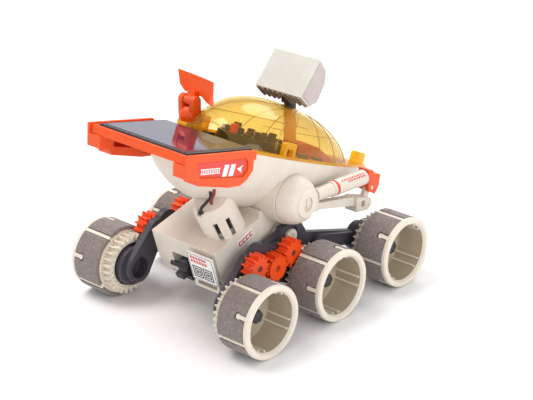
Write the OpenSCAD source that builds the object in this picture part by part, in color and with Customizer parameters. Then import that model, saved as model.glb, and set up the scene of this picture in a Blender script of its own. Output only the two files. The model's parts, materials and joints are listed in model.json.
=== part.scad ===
// Six-wheeled solar rover kit: rocker-bogie legs, geared rear wheels, solar tray,
// clear canopy, swivelling dish and a sensor head on a neck.
// Millimetres, +X to the nose, +Y to the left, +Z up, floor at z = 0.

/* [Wheels] */
// Radius of a wheel over its foam pads
wheel_r = 17.5; // [17:0.5:18]
// Distance between neighbouring axles
axle_pitch = 48.3; // [47.8:0.1:48.8]
// Distance from the middle plane to the open end of a rim
rim_out = 56.4; // [55.4:0.2:58.4]
// Thickness of the foam pads
pad_t = 1.9; // [1.5:0.1:2.1]
// Teeth on the ring gear of a wheel
ring_teeth = 28; // [28]
// Teeth on each idler gear
idler_teeth = 12; // [12]

/* [Legs] */
// Height of the rocker pivot above the floor
pivot_z = 35; // [34.5:0.25:35.5]
// Thickness of the rocker plate
rocker_t = 3.4; // [3:0.1:3.5]
// Thickness of the bogie plate
bogie_t = 3.5; // [3:0.1:3.6]
// Radius of a wheel stub axle
axle_r = 1.5; // [1.3:0.1:1.7]

/* [Body] */
// Half the width of the gearbox housing
housing_w = 20; // [19.5:0.5:20]
// Greatest half width of the hull
hull_b = 29.5; // [28.5:0.5:30]
// Wall of the hull and of the canopy
shell_t = 1.4; // [1.2:0.1:1.8]
// Radius of the side pods
pod_r = 12; // [11:0.5:12]

/* [Top] */
// Half the width of the solar tray between its end plates
tray_w = 29.5; // [28:0.5:30]
// Thickness of the solar module
module_t = 1.6; // [1.2:0.1:2]
// Half the width of the sensor head
head_w = 14.3; // [13:0.1:15]
// Width of the antenna dish
dish_w = 23; // [20:1:24]

/* [Hidden] */
$fn = 96;
gap = 0.05;
frame_x = -5.5;          // the middle axle stands this far from the origin
axle_z = wheel_r;
rear_x = -axle_pitch;
front_x = axle_pitch;
flange_t = 2.2;
rim_in = 38.4;
pad_out = rim_out - flange_t;
barrel_r = wheel_r - pad_t;
ring_in = 33.8;
gear_in = 31.4;
gear_out = 37.4;
ring_pr = ring_teeth / 2;
idler_pr = idler_teeth / 2;
stub_end = 43.05;
cap_end = 47.6;
disc_r = 9.6;

// Rocker pivot, and the low, middle and upper idler centres, as [x, z]
pivot = [-3, pivot_z];
low_c = [rear_x + 20 * cos(50.6), axle_z + 20 * sin(50.6)];
mid_c = [rear_x / 2, low_c[1] - sqrt(pow(2 * idler_pr, 2) - pow(rear_x / 2 - low_c[0], 2))];
up_c = [-axle_pitch - low_c[0], low_c[1]];
rear_c = [rear_x, axle_z];
middle_c = [0, axle_z];
front_c = [front_x, axle_z];

rocker_in = 23.6;
rocker_out = rocker_in + rocker_t;
bogie_in = 27.3;
bogie_out = bogie_in + bogie_t;
well_floor = 32.4;       // bottom of the wells in the inner faces of the bogie's bosses

// Rim plane of the hull: height at x = 0 and slope down to the nose
rim_z0 = 72;
rim_slope = 0.42;
rim_tilt = atan(rim_slope);
hull_x0 = -16;
hull_back = 44;
hull_nose = 114;
dome_x0 = -2;
dome_b = 28;
dome_drop = 5;
dome_back = 34;
dome_nose = 70;

// Antenna: swivel axis as [x, y], top of its seat, radius of its recess in the canopy
antenna_c = [-19.5, 21];
seat_z = 86;
recess_r = 6;

// Solar tray: middle of its top face, nose-down tilt, half length
tray_c = [-50.5, 91.0];
tray_tilt = 13.3;
tray_l = 22.5;
tray_t = 4;

// Tone of each material
cream = [0.89, 0.85, 0.80];
foam = [0.53, 0.48, 0.46];
slate = [0.24, 0.23, 0.27];
orange = [0.96, 0.37, 0.14];
amber = [0.95, 0.66, 0.12, 0.5];
black = [0.08, 0.08, 0.10];
steel = [0.70, 0.70, 0.70];
olive = [0.22, 0.22, 0.12];

// ---- Helpers ----

// Puts the middle axle at its place in the finished frame
module placed() {
  translate([frame_x, 0, 0]) children();
}

// Right side: x stays, y becomes height and z becomes the distance from the middle plane
module on_side() {
  placed() rotate([90, 0, 0]) children();
}

// Left side: the mirror image of a right-hand piece
module on_left() {
  mirror([0, 1, 0]) children();
}

// Round-ended strip from a to b, with radii ra and rb
module strip(a, ra, b, rb) {
  d = b - a;
  len = norm(d);
  turn = atan2(d[1], d[0]);
  lean = acos((ra - rb) / len);
  k = 0.99;
  translate(a) circle(r = ra);
  translate(b) circle(r = rb);
  polygon([
    a + k * ra * [cos(turn + lean), sin(turn + lean)],
    a + k * ra * [cos(turn - lean), sin(turn - lean)],
    b + k * rb * [cos(turn - lean), sin(turn - lean)],
    b + k * rb * [cos(turn + lean), sin(turn + lean)]
  ]);
}

// Solid slice of the side plane from z0 to z1
module slice(z0, z1) {
  translate([0, 0, z0]) linear_extrude(z1 - z0) children();
}

// Cylinder across the side plane at c, from z0 to z1
module peg(c, r, z0, z1) {
  translate([c[0], c[1], z0]) cylinder(r = r, h = z1 - z0);
}

// Spur gear outline of module 1, with its first tooth at angle a
module gear_outline(teeth, a) {
  pr = teeth / 2;
  circle(r = pr - 1.15);
  for (i = [0 : teeth - 1])
    rotate(a + i * 360 / teeth)
      polygon([[pr - 1.6, -0.75], [pr + 0.8, -0.3], [pr + 0.8, 0.3], [pr - 1.6, 0.75]]);
}

// Phase of a gear whose gap meets the tooth of its neighbour, seen along dir
function mate(a, teeth_a, dir, teeth_b) =
  dir + 180 - (0.5 - (dir - a) * teeth_a / 360) * 360 / teeth_b;
function heading(p, q) = atan2(q[1] - p[1], q[0] - p[0]);

rear_phase = 0;
low_phase = mate(rear_phase, ring_teeth, heading(rear_c, low_c), idler_teeth);
mid_phase = mate(low_phase, idler_teeth, heading(low_c, mid_c), idler_teeth);
up_phase = mate(mid_phase, idler_teeth, heading(mid_c, up_c), idler_teeth);
middle_phase = mate(up_phase, idler_teeth, heading(up_c, middle_c), ring_teeth);

// ---- Wheels ----

// Rim in its own frame, z outward: tooth_a turns the ring gear, pad_a the pads
module rim_shape(tooth_a, pad_a) {
  bore = axle_r + gap;
  difference() {
    union() {
      rotate_extrude() polygon([
        [bore, 35], [3.8, 35], [3.8, rim_in], [barrel_r, rim_in], [barrel_r, pad_out],
        [wheel_r - 0.2, pad_out], [wheel_r - 0.2, rim_out - 0.7], [wheel_r - 0.7, rim_out],
        [barrel_r - 0.7, rim_out], [barrel_r - 1.6, rim_out - 1.2], [barrel_r - 1.6, rim_in + 2],
        [3.8, rim_in + 2], [3.8, 43], [bore, 43]
      ]);
      translate([0, 0, ring_in]) linear_extrude(rim_in + 0.3 - ring_in) difference() {
        gear_outline(ring_teeth, tooth_a);
        circle(r = 10.5);
      }
      for (k = [0 : 3]) rotate(pad_a + 90 * k) {
        translate([barrel_r - 0.5, -0.8, rim_in]) cube([2, 1.6, pad_out + 0.2 - rim_in]);
        rotate(45) rim_tab();
        for (s = [-1, 1]) rotate(45 + 9 * s)
          translate([barrel_r - 2.5, -0.45, rim_in + 1.8]) cube([1.2, 0.9, 14.4]);
      }
    }
    cylinder(r = bore, h = 80);
  }
}

// Keyhole tab that reaches from the flange into a pad
module rim_tab() {
  translate([barrel_r - 0.5, -0.9, pad_out - 4.2]) cube([2.2, 1.8, 4.4]);
  translate([barrel_r - 0.5, 0, pad_out - 4.2]) rotate([0, 90, 0]) cylinder(r = 1.2, h = 2.2);
}

// Four foam pads, each with a slot for the tab
module pads_shape(pad_a) {
  difference() {
    translate([0, 0, rim_in + 0.1]) difference() {
      cylinder(r = wheel_r, h = pad_out - rim_in - 0.2);
      translate([0, 0, -1]) cylinder(r = barrel_r + gap, h = 30);
    }
    for (k = [0 : 3]) rotate(pad_a + 90 * k) {
      translate([barrel_r - 1, -1.2, rim_in - 1]) cube([5, 2.4, 20]);
      rotate(45) {
        translate([barrel_r - 1, -1.35, pad_out - 4.4]) cube([5, 2.7, 6]);
        translate([barrel_r - 1, 0, pad_out - 4.6]) rotate([0, 90, 0]) cylinder(r = 1.9, h = 5);
      }
    }
  }
}

// Hexagon-headed cap screwed into a stub axle
module cap_shape() {
  translate([0, 0, stub_end + gap]) cylinder(r = 3.3, h = cap_end - stub_end - gap, $fn = 6);
  translate([0, 0, 38]) cylinder(r = 0.8, h = stub_end + 0.5 - 38);
}

// Stub axle with the blind hole for its cap
module stub(c, z0) {
  difference() {
    peg(c, axle_r, z0, stub_end);
    peg(c, 0.8, 38, 60);
  }
}

module rim_rear_right() {
  color(cream) on_side() translate(rear_c) rim_shape(rear_phase, 20);
}
module rim_rear_left() {
  color(cream) on_left() on_side() translate(rear_c) rim_shape(rear_phase, 30);
}
module rim_middle_right() {
  color(cream) on_side() translate(middle_c) rim_shape(middle_phase, 34);
}
module rim_middle_left() {
  color(cream) on_left() on_side() translate(middle_c) rim_shape(middle_phase, 50);
}
module rim_front_right() {
  color(cream) on_side() translate(front_c) rim_shape(0, 3);
}
module rim_front_left() {
  color(cream) on_left() on_side() translate(front_c) rim_shape(0, 70);
}
module pads_rear_right() {
  color(foam) on_side() translate(rear_c) pads_shape(20);
}
module pads_rear_left() {
  color(foam) on_left() on_side() translate(rear_c) pads_shape(30);
}
module pads_middle_right() {
  color(foam) on_side() translate(middle_c) pads_shape(34);
}
module pads_middle_left() {
  color(foam) on_left() on_side() translate(middle_c) pads_shape(50);
}
module pads_front_right() {
  color(foam) on_side() translate(front_c) pads_shape(3);
}
module pads_front_left() {
  color(foam) on_left() on_side() translate(front_c) pads_shape(70);
}
module caps_bogie_right() {
  color(black) on_side() for (c = [rear_c, middle_c]) translate(c) cap_shape();
}
module caps_bogie_left() {
  on_left() caps_bogie_right();
}
module cap_front_right() {
  color(black) on_side() translate(front_c) cap_shape();
}
module cap_front_left() {
  on_left() cap_front_right();
}

// ---- Gear train on the bogie ----

module idler(c, a, bore) {
  color(orange) on_side() translate(c) difference() {
    translate([0, 0, gear_in]) linear_extrude(gear_out - gear_in) gear_outline(idler_teeth, a);
    cylinder(r = bore, h = 80);
  }
}
module gear_low_right() {
  idler(low_c, low_phase, 1.45);
}
module gear_low_left() {
  on_left() gear_low_right();
}
module gear_up_right() {
  idler(up_c, up_phase, 1.45);
}
module gear_up_left() {
  on_left() gear_up_right();
}
// The middle gear has a flat round face on its outer side
module gear_mid_right() {
  idler(mid_c, mid_phase, axle_r + gap);
  color(orange) on_side() translate(mid_c) difference() {
    union() {
      slice(gear_out - 0.3, gear_out + 0.3) circle(r = 4.8);
      slice(gear_out + 0.1, gear_out + 0.6) circle(r = 5.6);
    }
    cylinder(r = axle_r + gap, h = 80);
  }
}
module gear_mid_left() {
  on_left() gear_mid_right();
}

// ---- Legs ----

module bogie_right() {
  color(slate) on_side() difference() {
    union() {
      slice(bogie_in, bogie_out) {
        strip(rear_c, 7.5, low_c, 5.2);
        strip(low_c, 5.2, mid_c, 7.5);
        translate(mid_c + [-5, 5.2]) circle(r = 6.4);
        strip(mid_c, 7.5, middle_c, 7);
        strip(mid_c, 7.4, up_c, 4);
      }
      for (c = [rear_c, middle_c]) {
        peg(c, disc_r, bogie_out - 0.2, 34.4);
        stub(c, well_floor + 0.5);
      }
      for (c = [low_c, up_c]) peg(c, 1.4, bogie_out - 1, gear_out - 0.6);
    }
    peg(mid_c, axle_r + gap, 0, 60);
    for (c = [rear_c, middle_c]) peg(c, 5.2, 0, well_floor);
  }
}
module bogie_left() {
  on_left() bogie_right();
}

module rocker_right() {
  color(slate) on_side() difference() {
    union() {
      slice(rocker_in, rocker_out) {
        polygon([[-12, 29.5], [-9.5, 41.2], [3.4, 41.2], [7.4, 35], [8.4, 28], [-4, 27]]);
        strip(pivot, 6.4, mid_c, 5.4);
        strip([3, 31.2], 3.6, front_c, 3.2);
      }
      slice(rocker_in, 29.8) strip([15, 27.2], 3, front_c, 3.2);
      peg(front_c, 7.4, rocker_in, 28.4);
      peg(front_c, disc_r, 28.2, 33.2);
      peg(front_c, 3.4, 33, 34.8);
      stub(front_c, 34);
    }
    peg(pivot, 2.5 + gap, 0, 60);
    peg(pivot, 5.2, rocker_out - 1, 60);
    peg(mid_c, axle_r, 0, 60);
  }
}
module rocker_left() {
  on_left() rocker_right();
}

// Headed pins that carry the rockers, seated in the housing
module pivot_pins() {
  color(cream) for (s = [0, 1]) mirror([0, s, 0]) on_side() {
    peg(pivot, 2.5, 14, rocker_out - 0.9);
    difference() {
      peg(pivot, 3.6, rocker_out - 0.95, rocker_out + 0.9);
      peg(pivot, 1.4, rocker_out, 60);
    }
  }
}

module bogie_pin_right() {
  color(steel) on_side() peg(mid_c, axle_r, rocker_in, gear_out - 0.8);
}
module bogie_pin_left() {
  on_left() bogie_pin_right();
}

// ---- Hull and canopy ----

// Radius of the hull's egg at s along its axis: an ellipse behind, an arc to the nose
function egg_arc(b, nose) = (nose * nose + b * b) / (2 * b);
function egg_r(s, b, back, nose) = s < 0
  ? b * sqrt(max(0, 1 - pow(s / back, 2)))
  : max(0, sqrt(pow(egg_arc(b, nose), 2) - s * s) - egg_arc(b, nose) + b);

// Turned solid about the x axis from a list of [radius, distance along x]
module turned(profile) {
  rotate([0, 90, 0]) rotate_extrude() polygon(profile);
}

module egg(b, back, nose) {
  turned(concat(
    [for (i = [0 : 8]) let (s = -back * cos(11.25 * i)) [egg_r(s, b, back, nose), s]],
    [for (i = [1 : 12]) let (s = 0.965 * nose * i / 12) [egg_r(s, b, back, nose), s]],
    [[0, 0.965 * nose]]
  ));
}

// Canopy bubble: half an ellipse behind and half an ellipse ahead of its widest point
module bubble(b, back, nose) {
  turned(concat(
    [for (i = [0 : 8]) [b * sin(11.25 * i), -back * cos(11.25 * i)]],
    [for (i = [1 : 9]) [b * cos(10 * i), nose * sin(10 * i)]]
  ));
}

// Frame of the rim plane: x down the slope to the nose, z square to the plane
module on_rim(x0) {
  placed() translate([x0, 0, rim_z0 - rim_slope * x0]) rotate([0, rim_tilt, 0]) children();
}

module hull_solid(grow) {
  on_rim(hull_x0) egg(hull_b + grow, hull_back + grow, hull_nose + 3 * grow);
}

// Everything above the rim plane, lifted by up
module above_rim(up) {
  on_rim(0) translate([-200, -100, up]) cube([400, 200, 100]);
}

// Frame of the solar tray: x forward along the tray, z square to its top face
module on_tray() {
  placed() translate([tray_c[0], 0, tray_c[1]]) rotate([0, tray_tilt, 0]) children();
}

// Room taken by the tray and all that is above it
module tray_room() {
  on_tray() translate([-60, -60, -tray_t]) cube([60 + tray_l + 0.4, 120, 60]);
}

module hull_shell() {
  color(cream) difference() {
    hull_solid(0);
    hull_solid(-shell_t);
    above_rim(0);
    tray_room();
    for (s = [0, 1]) mirror([0, s, 0]) on_side() peg(pod_c, pod_r + gap, pod_in - gap, 60);
    placed() translate(lead_path[1]) cylinder(r = lead_r + gap, h = 6);
  }
}

module canopy_inside() {
  on_rim(dome_x0) translate([0, 0, -dome_drop])
    bubble(dome_b - shell_t, dome_back - shell_t, dome_nose - 2);
}

// Outer surface of the bubble, filled
module canopy_solid() {
  on_rim(dome_x0) translate([0, 0, -dome_drop]) bubble(dome_b, dome_back, dome_nose);
}

// Upright cylinder about the swivel axis of the antenna, from z0 to z1
module on_antenna(r, z0, z1) {
  placed() translate([antenna_c[0], antenna_c[1], z0]) cylinder(r = r, h = z1 - z0);
}

// Flange on the rim of the hull, with its three clips
module canopy_flange() {
  intersection() {
    hull_solid(0);
    on_rim(0) translate([-40, -60, 0]) cube([126, 120, 1.3]);
  }
  for (s = [-1, 1]) on_rim(-4) translate([-7, s * 27 - 1.6, 0]) cube([8, 3.2, 8]);
  on_rim(78) translate([-3, -2.6, 0]) difference() {
    cube([6.5, 5.2, 6.5]);
    translate([-1, 1.6, 2.4]) cube([9, 2, 9]);
  }
}

// Clear bubble with its flange, and a boss and a recess for the antenna
module canopy() {
  color(amber) difference() {
    union() {
      difference() {
        union() {
          canopy_solid();
          canopy_flange();
        }
        canopy_inside();
      }
      on_antenna(recess_r, 74, seat_z);
      intersection() {
        canopy_solid();
        on_antenna(recess_r + shell_t, 74, 110);
      }
    }
    on_rim(0) translate([-200, -100, -50]) cube([400, 200, 50]);
    tray_room();
    placed() translate([tilt_c[0], 0, 60]) cylinder(r = 3.3, h = 60);
    on_antenna(1.7, seat_z - 7, 120);
    on_antenna(recess_r, seat_z, 120);
  }
}

// Dark instrument deck with a raised bank in the middle
module cockpit_deck() {
  color(olive) difference() {
    union() {
      intersection() {
        hull_solid(-shell_t - gap);
        on_rim(0) translate([-40, -60, -3]) cube([104, 120, 2]);
      }
      on_rim(0) translate([-4, 0, -1.5]) cylinder(r = 15, h = 6);
      on_rim(0) translate([14, 0, -1.5]) cylinder(r = 12, h = 5);
    }
    tray_room();
    placed() translate([27, 0, 50]) cylinder(r = 3.1, h = 60);
  }
}

// Orange fan of ridges ahead of the instrument bank
module cockpit_console() {
  color(orange) on_rim(0) for (k = [-2 : 2])
    translate([28, 0, -0.9]) rotate(12 * k) translate([5, -1.1, 0]) cube([20, 2.2, 4.6]);
}

// Fixed root of a side pod, and the axle for its turning cap
pod_c = [-4, 54.5];
pod_in = 12;
module pod_right() {
  color(cream) difference() {
    on_side() {
      peg(pod_c, pod_r, pod_in, 28.2);
      peg(pod_c, 3, 28, 35.9);
    }
    hull_solid(-shell_t);
    housing_block();
  }
}
module pod_left() {
  on_left() pod_right();
}

// Turning cap at the end of a pod, with the ear that carries the tool arm
module pod_cap_right() {
  color(cream) on_side() difference() {
    union() {
      translate(pod_c) rotate_extrude() polygon([
        [0, 28.5], [pod_r - 0.4, 28.5], [pod_r - 0.4, 30], [pod_r - 1.4, 33.5],
        [pod_r - 3.4, 36.4], [pod_r - 5.2, 37.4], [pod_r - 5.6, 38.2], [0, 38.2]
      ]);
      slice(28.5, 32.3) polygon([[4, 47], [4, 54.5], [9.4, 54.5], [10.7, 50], [10.9, 45.2], [6, 45.2]]);
    }
    peg(pod_c, 3 + gap, 28, 36);
    peg(pod_c, 3.4, 37, 40);
    translate([pod_c[0] - 0.8, pod_c[1] - 2.4, 36.4]) cube([1.6, 4.8, 5]);
  }
}
module pod_cap_left() {
  on_left() pod_cap_right();
}

// ---- Gearbox ----

// Side outline of the gearbox housing as [x, z]
housing_side = [
  [-47, 39], [-44.6, 31], [-42.6, 24.5], [-39.6, 18.6], [-35, 14.4], [-29, 12], [4, 12],
  [10, 14], [12, 19], [12, 50], [-17, 50], [-17, 46.8]
];

module housing_block() {
  placed() rotate([90, 0, 0]) translate([0, 0, -housing_w]) linear_extrude(2 * housing_w)
    polygon(housing_side);
}

module gearbox_housing() {
  color(cream) difference() {
    union() {
      housing_block();
      for (s = [0, 1]) mirror([0, s, 0]) on_side()
        peg(pivot, 5.4, housing_w - 1, rocker_in - 0.15);
    }
    hull_solid(gap);
    for (s = [0, 1]) mirror([0, s, 0]) on_side() peg(pivot, 2.52, 13.9, 60);
    placed() translate([-37, -17, 15.5]) cube([44, 34, 19]);
    placed() translate([-60, -3.5, 5]) cube([24.5, 13.5, 25.2]);
    on_side() peg(knob_c, 1.3 + gap, -12.2, 5.2);
    placed() translate([-60, -19.7, 5]) cube([22.9, 16.3, 16.7]);
    motor_frame() translate([0, 0, -20]) cylinder(r = 8.1, h = 60);
  }
}

// Open box under the rear face, behind the label plate
module rear_bracket() {
  color(cream) placed() difference() {
    translate([-43.4, -19.6, 17.4]) cube([6.2, 15.6, 4.2]);
    translate([-45, -17.6, 18.8]) cube([6.4, 11.6, 1.5]);
  }
}

// Plate held off the rear face by a block, leaning forward at its lower edge
module label_plate() {
  color(cream) difference() {
    placed() translate([-46.6, -12.4, 29.2]) rotate([0, -17, 0]) {
      translate([-0.5, -8, -8]) cube([1, 16, 16]);
      translate([0.4, -5.5, -4.5]) cube([4, 11, 9]);
    }
    housing_block();
  }
}

// Four-armed knob on a cross shaft that runs in the housing
knob_c = [-42.3, 23.4];
module star_knob() {
  color(black) on_side() {
    slice(-4, 1) translate(knob_c) {
      circle(r = 3.4);
      for (k = [0 : 3]) rotate(90 * k + 20) translate([0, -1.4]) square([6, 2.8]);
    }
    peg(knob_c, 1.3, -12, 5);
  }
}

// Frame of the motor: z up along its leaning axis, from the housing roof
module motor_frame() {
  placed() translate([-29.4, -10.2, 42]) rotate([0, -27, 0]) children();
}

module motor_cover() {
  color(cream) difference() {
    motor_frame() difference() {
      rotate_extrude() polygon([[0, -12], [9.6, -12], [9.6, 17.5], [8, 20.6], [4.5, 22], [0, 22.2]]);
      translate([0, 0, -13]) cylinder(r = 8.3, h = 32.5);
      for (a = [218, 256]) rotate(a) translate([7, -1.1, 3]) cube([5, 2.2, 11]);
      rotate(177) translate([4, -1.4, 18.2]) cube([8, 2.8, 2.6]);
    }
    housing_block();
    hull_solid(gap);
  }
}

// Motor can with its end boss and shaft
module motor() {
  color(steel) motor_frame() {
    translate([0, 0, -12]) cylinder(r = 8, h = 18);
    translate([0, 0, -14]) cylinder(r = 3, h = 3);
    translate([0, 0, -20]) cylinder(r = 1, h = 8);
  }
}

// Lead from the underside of the hull into the motor cover
lead_r = 0.8;
lead_path = [[-42.8, -14, 68.5], [-42.8, -14, 63.8], [-45, -13.2, 61.4], [-47.3, -12.3, 59], [-46, -11.9, 56.4]];
module panel_lead() {
  color(black) placed() for (i = [0 : len(lead_path) - 2]) {
    a = lead_path[i];
    d = lead_path[i + 1] - a;
    translate(a) sphere(r = lead_r);
    translate(a) rotate([0, acos(d[2] / norm(d)), atan2(d[1], d[0])]) cylinder(r = lead_r - 0.01, h = norm(d));
  }
}

// ---- Solar tray ----

module tray_block() {
  on_tray() translate([-tray_l, -tray_w, -tray_t]) cube([2 * tray_l, 2 * tray_w, tray_t]);
}

module solar_tray() {
  color(orange) difference() {
    tray_block();
    on_tray() translate([-tray_l + 2, -27.2, -module_t]) cube([2 * tray_l - 2.5, 54.4, 5]);
  }
}

module solar_module() {
  color(black) on_tray() translate([-tray_l + 2.1, -27.1, -module_t])
    cube([2 * tray_l - 2.7, 54.2, module_t + 0.9]);
}

// Side outline of an end plate as [x, z]
plate_side = [
  [-73.6, 97], [-34.6, 88.1], [-32.2, 84.6], [-33.3, 78.3], [-37.3, 75.2], [-41.8, 73.8],
  [-49.5, 75.3], [-68, 81.8], [-68.6, 84.6], [-74.4, 86.4]
];

module end_plate_right() {
  color(orange) difference() {
    on_side() difference() {
      slice(22.6, 31) polygon(plate_side);
      slice(30.2, 40) polygon([
        [-68.5, 92.6], [-37.6, 85.6], [-36, 83.2], [-36.6, 79.4], [-39.6, 77.2], [-66.4, 84.8]
      ]);
      slice(20, 28.6) polygon([[-66, 90], [-38, 84], [-38, 78.5], [-43, 77.4], [-66, 85.2]]);
    }
    tray_block();
    tray_room_top();
    hull_solid(gap);
  }
}
module tray_room_top() {
  on_tray() translate([-60, -tray_w, -tray_t]) cube([120, 2 * tray_w, 60]);
}
module end_plate_left() {
  on_left() end_plate_right();
}

// ---- Antenna ----

module antenna_yoke() {
  color(orange) placed() translate(antenna_c) {
    translate([0, 0, seat_z - 6]) cylinder(r = 1.65, h = 7);
    translate([0, 0, seat_z + 0.1]) cylinder(r = 5.2, h = 2.4);
    for (s = [-1, 1]) translate([0, 3.6 * s - 1.2, 88]) {
      translate([-2.7, 0, 0]) cube([5.4, 2.4, 7]);
      translate([0, 0, 7]) rotate([-90, 0, 0]) cylinder(r = 2.7, h = 2.4);
    }
    translate([-2.7, -3, 88]) cube([5.4, 6, 1.6]);
    translate([0, -3, 95]) rotate([-90, 0, 0]) cylinder(r = 0.8, h = 6);
  }
}

// Curved dish with a lug between the cheeks of the yoke; its lower left corner is cut away
module antenna_dish() {
  color(orange) placed() translate([antenna_c[0], antenna_c[1], 95]) rotate([0, 24, 0]) difference() {
    union() {
      intersection() {
        difference() {
          translate([-22, 0, -4]) cylinder(r = 26, h = 18);
          translate([-22, 0, -5]) cylinder(r = 24.2, h = 20);
        }
        rotate([90, 0, 90]) translate([0, 0, -6]) linear_extrude(16) polygon([
          [dish_w / 2, 12.4], [-dish_w / 2 + 2, 11], [-dish_w / 2 - 1.5, 4.8], [-dish_w / 2 - 6, 0.4],
          [-10, 1.2], [-5, 3], [6, 3.4], [dish_w / 2 - 2.5, 6]
        ]);
      }
      translate([-0.5, -2.2, 0]) cube([4, 4.4, 5]);
      rotate([90, 0, 0]) translate([0, 0, -2.2]) cylinder(r = 2.1, h = 4.4);
    }
    rotate([90, 0, 0]) translate([0, 0, -3]) cylinder(r = 0.8 + gap, h = 6);
  }
}

// ---- Sensor head ----

tilt_c = [27, 95];
// Outline of the head across its width: along the rear face, then into the box
head_side = [[0, 0.9], [20.7, 0], [19.2, 7.5], [14.6, 11.4], [4.8, 13.2], [0, 9.6]];

// Frame of the head: x up its rear face, y into the box, z across the width
module on_head() {
  placed() translate([17.4, 0, 95]) rotate([90, 0, 0]) rotate(44) mirror([0, 1, 0]) children();
}

// Tongue at the top of the neck, thickened by grow to make its slot
module neck_tongue(grow, side) {
  placed() translate([0, 3 + grow, 0]) rotate([90, 0, 0]) linear_extrude(6 + 2 * grow) {
    translate(tilt_c) circle(r = 3.2 + grow);
    translate([tilt_c[0] - 3.1 - side, 86.6]) square([6.2 + 2 * side, 8.4]);
  }
}

module tilt_pin(r) {
  placed() translate([tilt_c[0], 7, tilt_c[1]]) rotate([90, 0, 0]) cylinder(r = r, h = 14);
}

module head_neck() {
  color(slate) {
    neck_tongue(0, 0);
    tilt_pin(1);
    placed() translate([tilt_c[0], 0, 58.5]) cylinder(r = 3, h = 29);
  }
}

// Opening in the underside of the head for the tongue
module head_slot() {
  neck_tongue(0.4, 3);
  placed() translate([tilt_c[0] - 6.1, -3.4, 80]) cube([12.2, 6.8, 10]);
}

module head_box_solid() {
  on_head() translate([0, 0, -head_w]) linear_extrude(2 * head_w) polygon(head_side);
}

module head_box() {
  color(cream) difference() {
    head_box_solid();
    head_slot();
    tilt_pin(1 + gap);
  }
}

// Corrugated strip under the head
module head_grille() {
  color(foam) difference() {
    on_head() for (k = [0 : 8])
      translate([-0.9, 1.2, -head_w + 1 + k * (2 * head_w - 3.2) / 8]) cube([1.4, 8, 1.2]);
    head_box_solid();
    head_slot();
  }
}

// ---- Tool arms ----

tool_y = 29.4;
wrist = [50.4, 44.2];

module tool_tube_right() {
  color(cream) placed() translate([10.95, -tool_y, 51.9]) rotate([0, 93.3, 0]) {
    cylinder(r = 3.2, h = 12);
    translate([0, 0, 11.6]) cylinder(r = 3.8, h = 24.6);
  }
}
module tool_tube_left() {
  on_left() tool_tube_right();
}

// Lower bar, its end block and the tongue that carries the knuckle
module tool_bar_right() {
  color(cream) on_side() difference() {
    union() {
      slice(tool_y - 2, tool_y + 2) polygon([[10.95, 48.3], [10.95, 45], [39, 38], [39, 43]]);
      slice(tool_y - 3.6, tool_y + 3.6)
        polygon([[38.1, 35.2], [47, 33.8], [49.5, 36], [49.3, 39.2], [43, 41.6], [38.1, 43]]);
      slice(tool_y - 1.2, tool_y + 1.2) polygon([[45, 38], [49, 38], [52.4, 44.2], [48.4, 44.2]]);
      peg(wrist, 2, tool_y - 1.2, tool_y + 1.2);
      peg(wrist, 1, tool_y - 3.2, tool_y + 3.2);
    }
    translate([42, 36.4, 0]) cube([2.6, 3.2, 60]);
  }
}
module tool_bar_left() {
  on_left() tool_bar_right();
}

// Forked knuckle that rocks on the pin of the tongue
module tool_knuckle_right() {
  color(orange) on_side() difference() {
    slice(tool_y - 3.2, tool_y + 3.2) polygon([
      [47.5, 43.2], [47.5, 54.2], [50.7, 53.2], [52.3, 50.6], [56.6, 49.4], [55.6, 43.6], [52.6, 40.2]
    ]);
    slice(tool_y - 1.5, tool_y + 1.5) {
      translate(wrist) circle(r = 3);
      polygon([[44, 36], [54, 36], [54, 43], [wrist[0] + 3, wrist[1]], [44, wrist[1]]]);
    }
    peg(wrist, 1 + gap, 0, 60);
  }
}
module tool_knuckle_left() {
  on_left() tool_knuckle_right();
}

// ---- Draws ----

gearbox_housing();
rear_bracket();
label_plate();
star_knob();
motor_cover();
motor();
panel_lead();
hull_shell();
cockpit_deck();
cockpit_console();
canopy();
pod_right();
pod_left();
pod_cap_right();
pod_cap_left();
solar_tray();
solar_module();
end_plate_right();
end_plate_left();
antenna_yoke();
antenna_dish();
head_neck();
head_box();
head_grille();
tool_tube_right();
tool_tube_left();
tool_bar_right();
tool_bar_left();
tool_knuckle_right();
tool_knuckle_left();
pivot_pins();
rocker_right();
rocker_left();
bogie_pin_right();
bogie_pin_left();
bogie_right();
bogie_left();
gear_low_right();
gear_low_left();
gear_mid_right();
gear_mid_left();
gear_up_right();
gear_up_left();
rim_rear_right();
rim_rear_left();
rim_middle_right();
rim_middle_left();
rim_front_right();
rim_front_left();
pads_rear_right();
pads_rear_left();
pads_middle_right();
pads_middle_left();
pads_front_right();
pads_front_left();
caps_bogie_right();
caps_bogie_left();
cap_front_right();
cap_front_left();
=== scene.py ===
import json
import math

import bmesh
import bpy
from mathutils import Matrix, Vector, noise


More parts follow.
